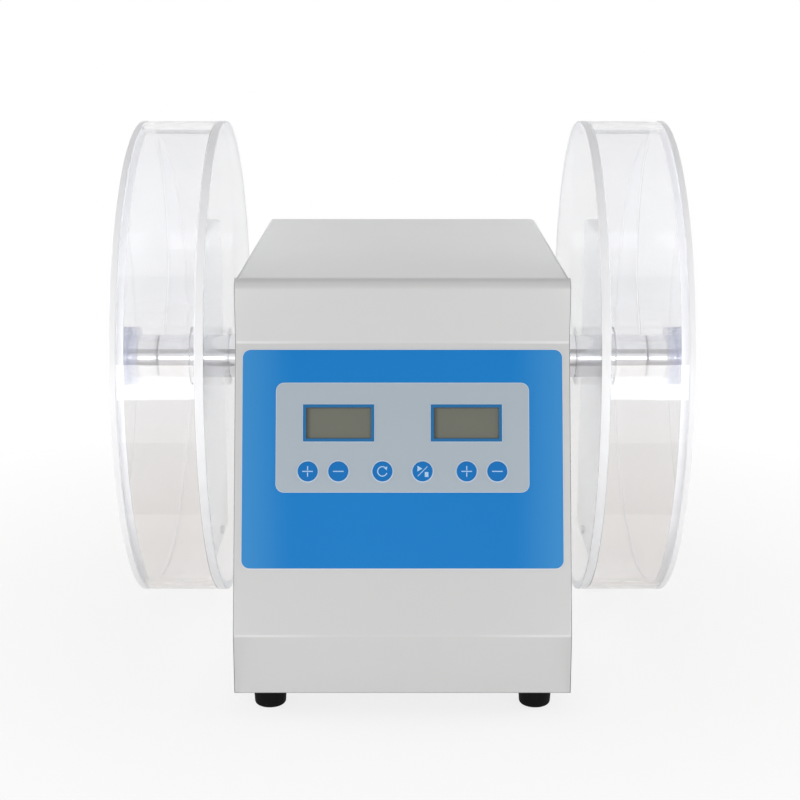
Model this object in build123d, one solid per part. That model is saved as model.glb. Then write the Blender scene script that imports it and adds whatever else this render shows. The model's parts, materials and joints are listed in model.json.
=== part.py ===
from build123d import *
import os
from math import acos, atan2, cos, degrees, pi, radians, sin, sqrt, tan

# Tablet friability tester: a bench housing with a clear test drum on each end of one shaft.
# Millimetres, +Z up, the front is -Y, the shaft runs along X.
# The origin is on the table, under the middle of the whole machine.

# Housing
housing_width = 185.0
sheet = 1.5
foot_height = 13.0
lower_band_height = 33.5
panel_rise = 153.0
panel_setback = 49.5
upper_band_height = 35.0
top_bend_radius = 6.0
fold_radius = 4.5
cover_corner_radius = 2.5
top_depth = 257.5
seam_gap = 0.3
tuck_length = 14.0
tray_flange = 15.0
side_return = 10.0

# Feet and screws
foot_diameter = 18.8
foot_taper = 0.8
foot_rounding = 2.0
foot_inset_x = 18.5
foot_inset_y = 17.5
foot_screw_diameter = 4.0
foot_recess_depth = 5.0
cover_screw_diameter = 3.0
screw_head_height = 2.0
cover_screw_height = 8.0
cover_screw_spacing = 110.0
screws_per_side = 3

# Shaft line
axis_to_rear = 115.5
drum_floor_gap = 13.0
shaft_diameter = 12.0
shaft_hole_clearance = 3.0
stud_diameter = 8.0
sleeve_diameter = 27.5
sleeve_gap = 1.0
spigot_diameter = 18.0
spigot_short = 0.3
running_fit = 0.05
slip_fit = 0.05

# Drums
drum_inner_diameter = 287.0
drum_wall = 5.0
drum_depth = 39.5
drum_gap = 17.5
back_plate_thickness = 5.0
lid_plug_thickness = 4.0
lid_lip_thickness = 3.5
lid_clearance = 0.4
lid_bore_clearance = 0.3
collar_diameter = 37.5
collar_length = 20.0
set_screw_diameter = 4.0
set_screw_length = 4.6
set_screw_inset = 5.3
scoop_radius = 80.5
scoop_thickness = 4.0
scoop_edge_gap = 0.5

# Locking knobs
knob_diameter = 37.0
knob_length = 11.0
knob_flutes = 16
knob_flute_radius = 2.4
knob_flute_depth = 0.9
boss_diameter = 27.0
boss_length = 12.0
stud_end_gap = 3.0
thread_clearance = 0.1

# Control panel, measured up the slope from the lower fold
overlay_width = 176.0
overlay_top_margin = 4.1
overlay_bottom = 36.7
overlay_thickness = 0.5
overlay_corner = 4.4
plate_width = 139.0
plate_height = 60.2
plate_bottom = 78.2
plate_thickness = 0.7
plate_gap = 0.1
display_centre_x = 35.1
display_centre_up = 116.3
display_width = 35.8
display_height = 17.1
display_frame = 1.7
display_frame_thickness = 0.3
display_sink = 1.2
display_margin = 3.5
key_row_up = 89.7
key_places = [-52.0, -35.2, -11.0, 11.0, 35.2, 52.0]
key_names = ["count_up", "count_down", "reset", "run_stop", "speed_up", "speed_down"]
key_diameter = 10.9
key_gap = 0.3
key_travel = 0.5
key_head = 0.8
key_head_rounding = 0.3
key_stem_diameter = 5.0
key_stem_gap = 1.0
key_free_travel = 0.2

# Control board behind the panel
board_width = 152.0
board_height = 74.0
board_bottom = 68.0
board_thickness = 1.6
board_depth = 9.5
processor_size = (14.0, 14.0, 2.0)
relay_size = (19.0, 15.0, 15.0)
connector_size = (24.0, 8.0, 11.0)
relay_place = (-40.0, -12.0)
connector_places = [(42.0, -18.0), (30.0, 16.0)]
processor_place = (0.0, 4.0)
standoff_diameter = 6.0
standoff_inset = 5.0
switch_size = 6.2
switch_height = 3.5
switch_plunger_diameter = 3.4

# Drive
gear_module = 1.5
gear_teeth = 50
pinion_teeth = 20
gear_width = 10.0
gear_hub_to_collar = 7.7
gear_backlash = 0.12
gear_hub_diameter = 26.0
gear_hub_length = 16.0
gear_holes = 5
pressure_angle = 20.0
motor_shaft_diameter = 6.0
gearbox_diameter = 37.0
gearbox_length = 28.0
gearbox_boss_diameter = 12.0
motor_diameter = 34.0
motor_length = 50.0
bracket_thickness = 2.5
bracket_width = 56.0
bracket_to_gear = 5.5
bracket_foot = 32.0

# Shaft bearings
upright_inset = 24.0
upright_thickness = 3.0
upright_base_width = 68.0
upright_top_width = 38.0
upright_above_axis = 36.0
upright_foot = 18.0
upright_window = 34.0
upright_window_low = 22.0
bush_diameter = 18.0
bush_flange_diameter = 26.0
bush_flange = 2.0
bush_length = 12.0
set_collar_diameter = 24.0
set_collar_length = 8.0
end_play = 0.3

# Turn counter
counter_disc_diameter = 50.0
counter_disc_thickness = 1.5
counter_disc_inboard = 12.0
counter_slots = 12
sensor_length = 19.0
sensor_width = 10.0
sensor_height = 16.0
sensor_slot_gap = 1.2

# Mains side at the rear
entry_from_side = 47.5
entry_up = 62.0
entry_width = 50.0
entry_height = 62.0
entry_flange = 2.5
entry_depth = 28.0
entry_wall = 2.0
entry_panel_gap = 0.3
socket_width = 27.0
socket_height = 19.5
socket_depth = 16.0
socket_chamfer = 5.0
socket_drop = 15.0
pin_width = 4.0
pin_thickness = 2.0
pin_length = 10.5
pin_spacing = 14.0
pin_tab = 8.0
drawer_width = 20.0
drawer_height = 6.4
drawer_depth = 20.0
drawer_lip = 1.5
drawer_up = 1.5
drawer_gap = 0.3
rocker_length = 19.0
rocker_width = 12.4
rocker_gap = 0.4
rocker_up = 17.5
rocker_tilt = 8.0
rocker_sink = 1.0
rocker_pin_diameter = 2.4
rocker_pin_length = 1.4
supply_size = (70.0, 50.0, 34.0)
supply_x = -24.0
supply_rear_gap = 10.0
vent_slot = (22.0, 3.0)
vent_rows = 8
vent_pitch = 7.0
vent_up = 130.0
vent_x = 42.0
tray_vent_x = 37.0

# Places worked out from the sizes above
rim_inner = drum_inner_diameter / 2
rim_outer = rim_inner + drum_wall
sleeve_radius = sleeve_diameter / 2
shaft_radius = shaft_diameter / 2
side_x = housing_width / 2
inner_x = side_x - sheet
upright_x = inner_x - upright_inset
bush_end_x = upright_x + upright_thickness + bush_flange - bush_length
collar_end_x = bush_end_x - end_play
entry_x = side_x - entry_from_side
front_reach = top_depth - axis_to_rear + panel_setback
axis_y = (front_reach - rim_outer) / 2
axis_z = drum_floor_gap + rim_outer
front_y = axis_y - front_reach
upper_y = front_y + panel_setback
rear_y = axis_y + axis_to_rear
base_z = foot_height
low_fold_z = base_z + lower_band_height
high_fold_z = low_fold_z + panel_rise
top_z = high_fold_z + upper_band_height
floor_z = base_z + sheet
seam_y = upper_y + top_bend_radius + seam_gap

back_x = side_x + drum_gap
chamber_x = back_x + back_plate_thickness
plug_x = chamber_x + drum_depth
lip_x = plug_x + lid_plug_thickness
lid_x = lip_x + lid_lip_thickness
knob_x = lid_x + boss_length
knob_end_x = knob_x + knob_length

slope = atan2(panel_setback, panel_rise)
slope_length = sqrt(panel_setback ** 2 + panel_rise ** 2)
overlay_height = slope_length - overlay_bottom - overlay_top_margin
panel_plane = Plane(
    origin=(0, front_y, low_fold_z),
    x_dir=(1, 0, 0),
    z_dir=(0, -cos(slope), sin(slope)),
)
gear_hub_end_x = collar_end_x - set_collar_length - gear_hub_to_collar
gear_x = gear_hub_end_x - gear_hub_length + gear_width / 2
motor_z = axis_z - gear_module * (gear_teeth + pinion_teeth) / 2
bracket_x = gear_x - gear_width / 2 - bracket_to_gear


def bar(x_from, x_to, radius, z=axis_z):
    """Round bar along X on the shaft's line, or at another height."""
    middle = (x_from + x_to) / 2
    return Pos(middle, axis_y, z) * Rot(0, 90, 0) * Cylinder(radius, abs(x_to - x_from))


def tube(x_from, x_to, outer, inner, z=axis_z):
    """Round tube along X."""
    return bar(x_from, x_to, outer, z) - bar(x_from, x_to, inner, z)


def block(low, high):
    """Box between two corners."""
    size = [h - l for l, h in zip(low, high)]
    middle = [(l + h) / 2 for l, h in zip(low, high)]
    return Pos(*middle) * Box(*size)


def on_panel(x, up, out, shape):
    """Places a shape drawn about its own origin on the sloping panel."""
    return panel_plane.location * Pos(x, up, out) * shape


def panel_slab(width, height, corner, thickness, x, up, out):
    """Rounded slab that lies on the sloping panel, its back face `out` from the panel's face."""
    slab = extrude(RectangleRounded(width, height, corner), amount=thickness)
    return on_panel(x, up, out, slab)


def mirrored(shape):
    """The same piece for the left side of the machine."""
    return mirror(shape, about=Plane.YZ)


def inset_corner(before, corner, after, distance):
    """Where the corner of an outline goes when both its sides move to the right by a distance."""
    first = Vector(*corner) - Vector(*before)
    second = Vector(*after) - Vector(*corner)
    first_normal = Vector(first.Y, -first.X).normalized()
    second_normal = Vector(second.Y, -second.X).normalized()
    share = distance / (1 + first_normal.dot(second_normal))
    moved = Vector(*corner) + (first_normal + second_normal) * share
    return (moved.X, moved.Y)


# Outline of the front, as depth and height, from the table side up
front_outline = [
    (front_y, base_z),
    (front_y, low_fold_z),
    (upper_y, high_fold_z),
    (upper_y, top_z),
    (upper_y + top_bend_radius, top_z),
]


def folded_front():
    """The front's sheet as it comes from the press, before its flanges and openings."""
    line = FilletPolyline(*front_outline, radius=[fold_radius, fold_radius, top_bend_radius - 0.01])
    section = Plane.YZ * make_face(offset(line, amount=sheet, side=Side.RIGHT, closed=True).edges())
    return extrude(section, amount=side_x, both=True)


def make_front_panel():
    """Folded front: lower band, sloping panel, upper band and the bend that meets the cover."""
    panel = folded_front()
    tuck_z = top_z - sheet
    panel += block(
        (-inner_x, upper_y + top_bend_radius - sheet, tuck_z - sheet),
        (inner_x, seam_y + tuck_length, tuck_z),
    )
    for side in (-1, 1):
        rim = Box(sheet, slope_length - 4 * sheet, side_return)
        x = side * (inner_x - sheet / 2)
        panel += on_panel(x, slope_length / 2, -sheet - side_return / 2, rim)
        window = Box(display_width + 2 * plate_gap, display_height + 2 * plate_gap, 4 * sheet)
        panel -= on_panel(side * display_centre_x, display_centre_up, 0, window)
    for x in key_places:
        hole = Cylinder(key_stem_diameter / 2 + key_stem_gap, 4 * sheet)
        panel -= on_panel(x, key_row_up, 0, hole)
    return panel


def cover_outline():
    """Side view of the cover: it butts against the back of the front panel."""
    low = inset_corner(*front_outline[0:3], sheet)
    high = inset_corner(*front_outline[1:4], sheet)
    bend_z = top_z - top_bend_radius
    inner_bend = top_bend_radius - sheet
    bend_y = upper_y + top_bend_radius
    half = inner_bend * sqrt(0.5)
    with BuildLine(Plane.YZ) as outline:
        Polyline(
            (seam_y, top_z - sheet),
            (seam_y, top_z),
            (rear_y, top_z),
            (rear_y, base_z),
            (front_y + sheet, base_z),
            low,
            high,
            (upper_y + sheet, bend_z),
        )
        ThreePointArc((upper_y + sheet, bend_z), (bend_y - half, bend_z + half), (bend_y, top_z - sheet))
        Line((bend_y, top_z - sheet), (seam_y, top_z - sheet))
    return make_face(outline.line)


def make_cover():
    """Top and both sides, one sheet folded down, cut to the front's outline."""
    height = top_z - base_z
    arch = Rectangle(housing_width, 2 * height) - Rectangle(housing_width - 2 * sheet, 2 * (height - sheet))
    length = rear_y - front_y
    folded = Pos(0, rear_y, base_z) * extrude(Plane.XZ * arch, amount=length)
    long_edges = folded.edges().filter_by(Axis.Y)
    outer = [e for e in long_edges if abs(abs(e.center().X) - side_x) < 0.01 and e.center().Z > base_z]
    folded = fillet([e for e in outer if abs(e.center().Z - top_z) < 0.01], cover_corner_radius)
    cover = folded & extrude(cover_outline(), amount=side_x, both=True)
    cover -= folded_front()
    cover -= bar(-side_x - 1, side_x + 1, shaft_radius + shaft_hole_clearance)
    for side, y in cover_screw_sites():
        hole = Rot(0, 90, 0) * Cylinder(cover_screw_diameter / 2 + slip_fit, 4 * sheet)
        cover -= Pos(side * side_x, y, base_z + cover_screw_height) * hole
    return cover


def make_base_tray():
    """Bottom sheet with its four edges turned up inside the cover."""
    low = (-inner_x, front_y + sheet, base_z)
    high = (inner_x, rear_y - sheet, base_z + tray_flange)
    tray = block(low, high)
    tray -= block(
        (low[0] + sheet, low[1] + sheet, base_z + sheet),
        (high[0] - sheet, high[1] - sheet, high[2] + 1),
    )
    for x in (low[0], high[0]):
        for y in (low[1], high[1]):
            tray -= Pos(x, y, base_z + tray_flange / 2 + sheet) * Box(3 * sheet, 3 * sheet, tray_flange)
    for x, y in foot_sites():
        tray -= Pos(x, y, base_z) * Cylinder(foot_screw_diameter / 2 + slip_fit, 4 * sheet)
    for side, y in cover_screw_sites():
        hole = Rot(0, 90, 0) * Cylinder(cover_screw_diameter / 2 + slip_fit, 4 * sheet)
        tray -= Pos(side * inner_x, y, base_z + cover_screw_height) * hole
    slots = GridLocations(0, vent_pitch, 1, vent_rows)
    slot = extrude(SlotOverall(*vent_slot), amount=4 * sheet, both=True)
    tray -= [Pos(tray_vent_x, axis_y, base_z) * place * slot for place in slots]
    return tray


def make_rear_panel():
    """Rear sheet with three edges turned forward, the mains opening and two fields of vents."""
    panel = block((-inner_x, rear_y - sheet, base_z), (inner_x, rear_y, top_z - sheet))
    deep = rear_y - sheet - side_return
    low_z = base_z + tray_flange + sheet
    for side in (-1, 1):
        x = sorted((side * inner_x, side * (inner_x - sheet)))
        panel += block((x[0], deep, low_z), (x[1], rear_y - sheet, top_z - sheet))
    panel += block((-inner_x, deep, top_z - 2 * sheet), (inner_x, rear_y - sheet, top_z - sheet))
    opening = Box(
        entry_width - 2 * entry_wall + 2 * entry_panel_gap,
        4 * sheet,
        entry_height - 2 * entry_wall + 2 * entry_panel_gap,
    )
    panel -= Pos(entry_x, rear_y, base_z + entry_up) * opening
    slot = extrude(Plane.XZ * SlotOverall(*vent_slot), amount=4 * sheet, both=True)
    for x in (-vent_x, vent_x):
        for row in range(vent_rows):
            z = base_z + vent_up + row * vent_pitch
            panel -= Pos(x, rear_y, z) * slot
    return panel


def foot_sites():
    """Centres of the four feet."""
    x = side_x - foot_inset_x
    return [(i * x, y) for y in (front_y + foot_inset_y, rear_y - foot_inset_y) for i in (-1, 1)]


def make_foot(x, y):
    """Rubber foot, narrower at the table, with a pocket for its screw."""
    top = foot_diameter / 2
    low = top - foot_taper
    foot = Pos(x, y, foot_height / 2) * Cone(low, top, foot_height)
    foot = fillet(foot.edges().sort_by(Axis.Z)[0], foot_rounding)
    head = foot_screw_diameter
    foot -= Pos(x, y, foot_recess_depth / 2) * Cylinder(head, foot_recess_depth)
    foot -= Pos(x, y, foot_height / 2) * Cylinder(foot_screw_diameter / 2 + slip_fit, foot_height)
    return foot


def make_foot_screws():
    """Screw and nut of each foot."""
    length = foot_height - foot_recess_depth + sheet + 6
    nut_height = 3.2
    pieces = []
    for x, y in foot_sites():
        head = Pos(x, y, foot_recess_depth - screw_head_height / 2)
        screw = head * Cylinder(foot_screw_diameter - slip_fit * 10, screw_head_height)
        screw += Pos(x, y, foot_recess_depth + length / 2) * Cylinder(foot_screw_diameter / 2, length)
        nut = extrude(RegularPolygon(foot_screw_diameter, 6), amount=nut_height)
        nut -= Cylinder(foot_screw_diameter / 2 + slip_fit, 4 * nut_height)
        pieces += [screw, Pos(x, y, floor_z) * nut]
    return Compound(children=pieces)


def cover_screw_sites():
    """Side and depth of each screw that holds the cover to the tray."""
    middle = (front_y + rear_y) / 2
    steps = [i - (screws_per_side - 1) / 2 for i in range(screws_per_side)]
    return [(side, middle + i * cover_screw_spacing) for side in (-1, 1) for i in steps]


def make_cover_screws():
    """Pan-headed screws along the foot of both sides."""
    pieces = []
    for side, y in cover_screw_sites():
        shank_length = 2 * sheet + 3
        shank = Pos(0, 0, -shank_length / 2) * Cylinder(cover_screw_diameter / 2, shank_length)
        head = Pos(0, 0, screw_head_height / 2) * Cylinder(cover_screw_diameter, screw_head_height)
        head = fillet(head.edges().sort_by(Axis.Z)[-1], screw_head_height / 2)
        turned = Rot(0, side * 90, 0) * (shank + head)
        pieces.append(Pos(side * side_x, y, base_z + cover_screw_height) * turned)
    return Compound(children=pieces)


def make_overlay():
    """Coloured front sheet with the opening for the key plate."""
    up = overlay_bottom + overlay_height / 2
    overlay = panel_slab(overlay_width, overlay_height, overlay_corner, overlay_thickness, 0, up, 0)
    plate_up = plate_bottom + plate_height / 2
    hole = panel_slab(
        plate_width + 2 * plate_gap,
        plate_height + 2 * plate_gap,
        overlay_corner + plate_gap,
        3 * overlay_thickness,
        0,
        plate_up,
        -overlay_thickness,
    )
    return overlay - hole


def make_key_plate():
    """Grey plate that frames both displays and the six keys."""
    up = plate_bottom + plate_height / 2
    plate = panel_slab(plate_width, plate_height, overlay_corner, plate_thickness, 0, up, 0)
    for side in (-1, 1):
        window = Box(display_width, display_height, 4 * plate_thickness)
        plate -= on_panel(side * display_centre_x, display_centre_up, 0, window)
    for x in key_places:
        plate -= on_panel(x, key_row_up, 0, Cylinder(key_diameter / 2 + key_gap, 4 * plate_thickness))
    return plate


def make_display_frames():
    """Narrow frame round each display window."""
    pieces = []
    for side in (-1, 1):
        outer = Rectangle(display_width + 2 * display_frame, display_height + 2 * display_frame)
        ring = extrude(outer - Rectangle(display_width, display_height), amount=display_frame_thickness)
        pieces.append(on_panel(side * display_centre_x, display_centre_up, plate_thickness, ring))
    return Compound(children=pieces)


def make_display(side):
    """Display: its glass stands in the window and its case sits on the board behind."""
    glass_top = plate_thickness - display_sink
    glass = Box(display_width, display_height, glass_top + sheet + 1)
    glass = Pos(0, 0, (glass_top - sheet - 1) / 2) * glass
    case_depth = board_depth - sheet
    case = Box(display_width + 2 * display_margin, display_height + 2 * display_margin, case_depth)
    case = Pos(0, 0, -sheet - case_depth / 2) * case
    return on_panel(side * display_centre_x, display_centre_up, 0, glass + case)


def make_key(x):
    """Round key: a flat head on the plate and a stem that reaches for its switch."""
    head_low = key_travel + 0.1
    head = Pos(0, 0, head_low + key_head / 2) * Cylinder(key_diameter / 2, key_head)
    head = fillet(head.edges().sort_by(Axis.Z)[-1], key_head_rounding)
    stem_low = -(board_depth - switch_height - 0.7) + key_travel + key_free_travel
    stem_length = head_low - stem_low
    stem = Pos(0, 0, stem_low + stem_length / 2) * Cylinder(key_stem_diameter / 2, stem_length)
    return on_panel(x, key_row_up, 0, head + stem)


def make_key_switches():
    """Small push switches on the board, one behind each key."""
    pieces = []
    for x in key_places:
        body = Pos(0, 0, -board_depth + switch_height / 2) * Box(switch_size, switch_size, switch_height)
        top = -board_depth + switch_height
        body += Pos(0, 0, top + 0.35) * Cylinder(switch_plunger_diameter / 2, 0.7)
        pieces.append(on_panel(x, key_row_up, 0, body))
    return Compound(children=pieces)


def standoff_sites():
    """Centres of the posts that carry the board, on the panel's own plane."""
    x = board_width / 2 - standoff_inset
    low = board_bottom + standoff_inset
    high = board_bottom + board_height - standoff_inset
    return [(i * x, up) for i in (-1, 0, 1) for up in (low, high)]


def make_board():
    """Control board with its processor, relay and connectors on the back."""
    up = board_bottom + board_height / 2
    back = -board_depth - board_thickness
    board = Pos(0, up, back + board_thickness / 2) * Box(board_width, board_height, board_thickness)
    fitted = [(processor_place, processor_size), (relay_place, relay_size)]
    fitted += [(place, connector_size) for place in connector_places]
    for (x, y), (wide, high, deep) in fitted:
        board += Pos(x, up + y, back - deep / 2) * Box(wide, high, deep)
    for x, y in standoff_sites():
        board -= Pos(x, y, back) * Cylinder(standoff_diameter / 4, 6 * board_thickness)
    return panel_plane.location * board


def make_standoffs():
    """Posts between the front panel and the board."""
    length = board_depth - sheet
    pieces = [
        on_panel(x, up, -sheet - length / 2, Cylinder(standoff_diameter / 2, length))
        for x, up in standoff_sites()
    ]
    return Compound(children=pieces)


def tooth_half_angle(radius, teeth):
    """Half the angle that one tooth covers at a radius, by the involute."""
    pitch = gear_module * teeth / 2
    base = pitch * cos(radians(pressure_angle))
    flank = acos(min(1.0, base / radius))
    pitch_flank = radians(pressure_angle)
    at_pitch = pi / (2 * teeth) - gear_backlash / (2 * pitch)
    return at_pitch + (tan(pitch_flank) - pitch_flank) - (tan(flank) - flank)


def gear_face(teeth, first_angle):
    """Spur gear outline with one tooth centred on the first angle."""
    pitch = gear_module * teeth / 2
    base = pitch * cos(radians(pressure_angle))
    tip = pitch + gear_module
    root = pitch - 1.25 * gear_module
    start = max(base, root)
    middle = (start + tip) / 2
    step = 2 * pi / teeth

    def point(radius, angle):
        return (radius * cos(angle), radius * sin(angle))

    edges = []
    for tooth in range(teeth):
        centre = radians(first_angle) + tooth * step
        low, mid, high = (tooth_half_angle(r, teeth) for r in (start, middle, tip))
        rise = [point(start, centre - low), point(middle, centre - mid), point(tip, centre - high)]
        fall = [point(tip, centre + high), point(middle, centre + mid), point(start, centre + low)]
        next_foot = point(root, centre + step - low)
        foot = point(root, centre + low)
        if start > root:
            edges.append(Line(point(root, centre - low), rise[0]))
            edges.append(Line(fall[2], foot))
        edges.append(ThreePointArc(*rise))
        edges.append(ThreePointArc(rise[2], point(tip, centre), fall[0]))
        edges.append(ThreePointArc(*fall))
        edges.append(ThreePointArc(foot, point(root, centre + step / 2), next_foot))
    return make_face(edges)


def make_gear(teeth, first_angle, z, width):
    """Toothed disc across X at a height, centred on the gear's place."""
    teeth_band = extrude(gear_face(teeth, first_angle), amount=width / 2, both=True)
    across = Plane(origin=(gear_x, axis_y, z), x_dir=(0, 1, 0), z_dir=(1, 0, 0))
    return across.location * teeth_band


def make_drive_gear():
    """Large gear on the shaft, with a hub and lightening holes."""
    gear = make_gear(gear_teeth, -90, axis_z, gear_width)
    gear += bar(gear_x - gear_width / 2, gear_x - gear_width / 2 + gear_hub_length, gear_hub_diameter / 2)
    gear -= bar(gear_x - 3 * gear_width, gear_x + 3 * gear_width, shaft_radius + slip_fit)
    pitch = gear_module * gear_teeth / 2
    hole_ring = (pitch + gear_hub_diameter / 2) / 2
    hole_radius = (pitch - gear_hub_diameter / 2) / 3
    for i in range(gear_holes):
        angle = 2 * pi * i / gear_holes
        y = axis_y + hole_ring * cos(angle)
        z = axis_z + hole_ring * sin(angle)
        gear -= Pos(gear_x, y, z) * Rot(0, 90, 0) * Cylinder(hole_radius, 4 * gear_width)
    return gear


def make_pinion():
    """Small gear on the motor's shaft, a gap between two teeth facing up."""
    pinion = make_gear(pinion_teeth, 90 + 180 / pinion_teeth, motor_z, gear_width + 1)
    hub = gear_x + gear_width / 2
    pinion += bar(hub, hub + 6, motor_shaft_diameter, motor_z)
    bore = motor_shaft_diameter / 2 + slip_fit
    return pinion - bar(gear_x - 3 * gear_width, gear_x + 3 * gear_width, bore, motor_z)


def make_motor_shaft():
    """Output shaft of the gearbox."""
    return bar(bracket_x - 10, gear_x + gear_width / 2 + 7, motor_shaft_diameter / 2, motor_z)


def make_gearbox():
    """Gearbox with the boss that locates it in the bracket."""
    box = bar(bracket_x - gearbox_length, bracket_x, gearbox_diameter / 2, motor_z)
    box += bar(bracket_x, bracket_x + bracket_thickness, gearbox_boss_diameter / 2, motor_z)
    bore = motor_shaft_diameter / 2 + running_fit
    return box - bar(bracket_x - 10, bracket_x + 10, bore, motor_z)


def make_motor():
    """Motor can behind the gearbox, with its rear bearing boss."""
    front = bracket_x - gearbox_length
    can = bar(front - motor_length, front, motor_diameter / 2, motor_z)
    can = fillet(can.edges().sort_by(Axis.X)[0], 2)
    return can + bar(front - motor_length - 3, front - motor_length + 1, 6, motor_z)


def make_motor_bracket():
    """Upright plate with a foot: it carries the gearbox."""
    top = motor_z + gearbox_diameter / 2 + 5
    half = bracket_width / 2
    plate = block((bracket_x, axis_y - half, floor_z), (bracket_x + bracket_thickness, axis_y + half, top))
    plate = fillet(plate.edges().filter_by(Axis.X).sort_by(Axis.Z)[-2:], 8)
    foot = block(
        (bracket_x - bracket_foot, axis_y - half, floor_z),
        (bracket_x, axis_y + half, floor_z + bracket_thickness),
    )
    bore = gearbox_boss_diameter / 2 + slip_fit
    return plate + foot - bar(bracket_x - 1, bracket_x + 10, bore, motor_z)


def make_upright():
    """Bent plate inside the right wall that carries the shaft's bush."""
    top = axis_z + upright_above_axis
    with BuildSketch(Plane.YZ) as side_view:
        with BuildLine():
            Polyline(
                (axis_y - upright_base_width / 2, floor_z),
                (axis_y + upright_base_width / 2, floor_z),
                (axis_y + upright_top_width / 2, top),
                (axis_y - upright_top_width / 2, top),
                close=True,
            )
        make_face()
        fillet(side_view.vertices().sort_by(Axis.Y)[-2:], 8)
        window_low = floor_z + upright_window_low
        window_high = axis_z - upright_window
        with Locations((axis_y, (window_low + window_high) / 2)):
            SlotOverall(window_high - window_low, upright_window, rotation=90, mode=Mode.SUBTRACT)
        with Locations((axis_y, axis_z)):
            Circle(bush_diameter / 2 + slip_fit, mode=Mode.SUBTRACT)
    plate = Pos(upright_x, 0, 0) * extrude(side_view.sketch, amount=upright_thickness)
    half = upright_base_width / 2
    foot = block(
        (upright_x - upright_foot, axis_y - half, floor_z),
        (upright_x, axis_y + half, floor_z + upright_thickness),
    )
    return plate + foot


def make_bush():
    """Flanged bronze bush in the upright."""
    outer_x = upright_x + upright_thickness
    bore = shaft_radius + running_fit
    bush = tube(bush_end_x, outer_x, bush_diameter / 2, bore)
    return bush + tube(outer_x, outer_x + bush_flange, bush_flange_diameter / 2, bore)


def make_set_collar():
    """Collar that keeps the shaft from moving to the right."""
    start = collar_end_x - set_collar_length
    return tube(start, collar_end_x, set_collar_diameter / 2, shaft_radius + slip_fit)


def make_shaft():
    """Drive shaft through the housing and both drums, with a stud for a knob at each end."""
    shoulder = lid_x - spigot_short
    shaft = bar(-shoulder, shoulder, shaft_radius)
    tip = knob_end_x - stud_end_gap
    shaft += bar(-tip, tip, stud_diameter / 2)
    circles = shaft.edges().filter_by(GeomType.CIRCLE).sort_by(Axis.X)
    return chamfer([circles[0], circles[-1]], 0.8)


def make_counter_disc():
    """Slotted disc on the shaft that the sensor reads."""
    x = -upright_x + counter_disc_inboard
    half = counter_disc_thickness / 2
    radius = counter_disc_diameter / 2
    disc = bar(x - half, x + half, radius) + bar(-collar_end_x, x + 4, set_collar_diameter / 2)
    for i in range(counter_slots):
        angle = 360 * i / counter_slots
        slot = Pos(0, 0, radius - 3) * Box(6 * half, 3, 6.1)
        disc -= Pos(x, axis_y, axis_z) * Rot(angle, 0, 0) * slot
    return disc - bar(x - 20, x + 20, shaft_radius + slip_fit)


def make_sensor():
    """Fork-shaped light sensor on the left upright, astride the disc's edge."""
    radius = counter_disc_diameter / 2
    low = axis_z + radius - sensor_height / 2 + 1
    half = sensor_width / 2
    fork = block((-upright_x, axis_y - half, low), (-upright_x + sensor_length, axis_y + half, low + sensor_height))
    x = -upright_x + counter_disc_inboard
    gap = counter_disc_thickness / 2 + sensor_slot_gap
    slot = block((x - gap, axis_y - half - 1, low - 1), (x + gap, axis_y + half + 1, axis_z + radius + 2))
    return fork - slot


def make_supply():
    """Power supply in a perforated case, on the tray behind the motor."""
    wide, deep, high = supply_size
    rear = rear_y - supply_rear_gap
    case = block(
        (supply_x - wide / 2, rear - deep, floor_z),
        (supply_x + wide / 2, rear, floor_z + high),
    )
    for place in GridLocations(9, 9, 6, 4):
        case -= Pos(supply_x, rear - deep / 2, floor_z + high) * place * Cylinder(2, 3)
    return case


def entry_box(width, height, depth_from, depth_to, x=0.0, up=0.0):
    """Box on the mains entry: width by height, between two distances out of the rear panel."""
    z = base_z + entry_up + up
    return block(
        (entry_x + x - width / 2, rear_y + depth_from, z - height / 2),
        (entry_x + x + width / 2, rear_y + depth_to, z + height / 2),
    )


def rocker_pivot():
    """Place of the rocker's pin."""
    return Pos(entry_x, rear_y + entry_flange - rocker_sink, base_z + entry_up + rocker_up)


def pin_sites():
    """Places of the three pins in the socket."""
    return [(-pin_spacing / 2, 2.0 - socket_drop), (pin_spacing / 2, 2.0 - socket_drop), (0, -4.0 - socket_drop)]


def make_entry():
    """Mains entry: the socket, the fuse drawer's slot and the rocker's well in one moulding."""
    z = base_z + entry_up
    outline = Plane.XZ * RectangleRounded(entry_width, entry_height, 3)
    entry = Pos(entry_x, rear_y + entry_flange, z) * extrude(outline, amount=entry_flange)
    entry += entry_box(entry_width - 2 * entry_wall, entry_height - 2 * entry_wall, -entry_depth, 0)
    mouth = entry_box(socket_width, socket_height, entry_flange - socket_depth, entry_flange + 1, up=-socket_drop)
    mouth = chamfer(mouth.edges().filter_by(Axis.Y).sort_by(Axis.Z)[-2:], socket_chamfer)
    entry -= mouth
    for x, up in pin_sites():
        entry -= entry_box(pin_thickness, pin_width, -entry_depth - 1, 0, x=x, up=up)
    entry -= entry_box(
        drawer_width + 2 * drawer_gap,
        drawer_height + 2 * drawer_gap,
        entry_flange - drawer_depth - drawer_gap,
        entry_flange + 1,
        up=drawer_up,
    )
    well = rocker_length + 2 * rocker_gap
    entry -= entry_box(rocker_width + 2 * rocker_gap, well, entry_flange - 9, entry_flange + 1, up=rocker_up)
    pin = Rot(0, 90, 0) * Cylinder(
        rocker_pin_diameter / 2 + running_fit, rocker_width + 2 * rocker_pin_length + 2 * rocker_gap
    )
    return entry - rocker_pivot() * pin


def make_pins():
    """Three flat pins through the socket's floor, with solder tabs behind."""
    inner = entry_flange - socket_depth
    pieces = [
        entry_box(pin_thickness, pin_width, -entry_depth - pin_tab, inner + pin_length, x=x, up=up)
        for x, up in pin_sites()
    ]
    return Compound(children=pieces)


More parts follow.
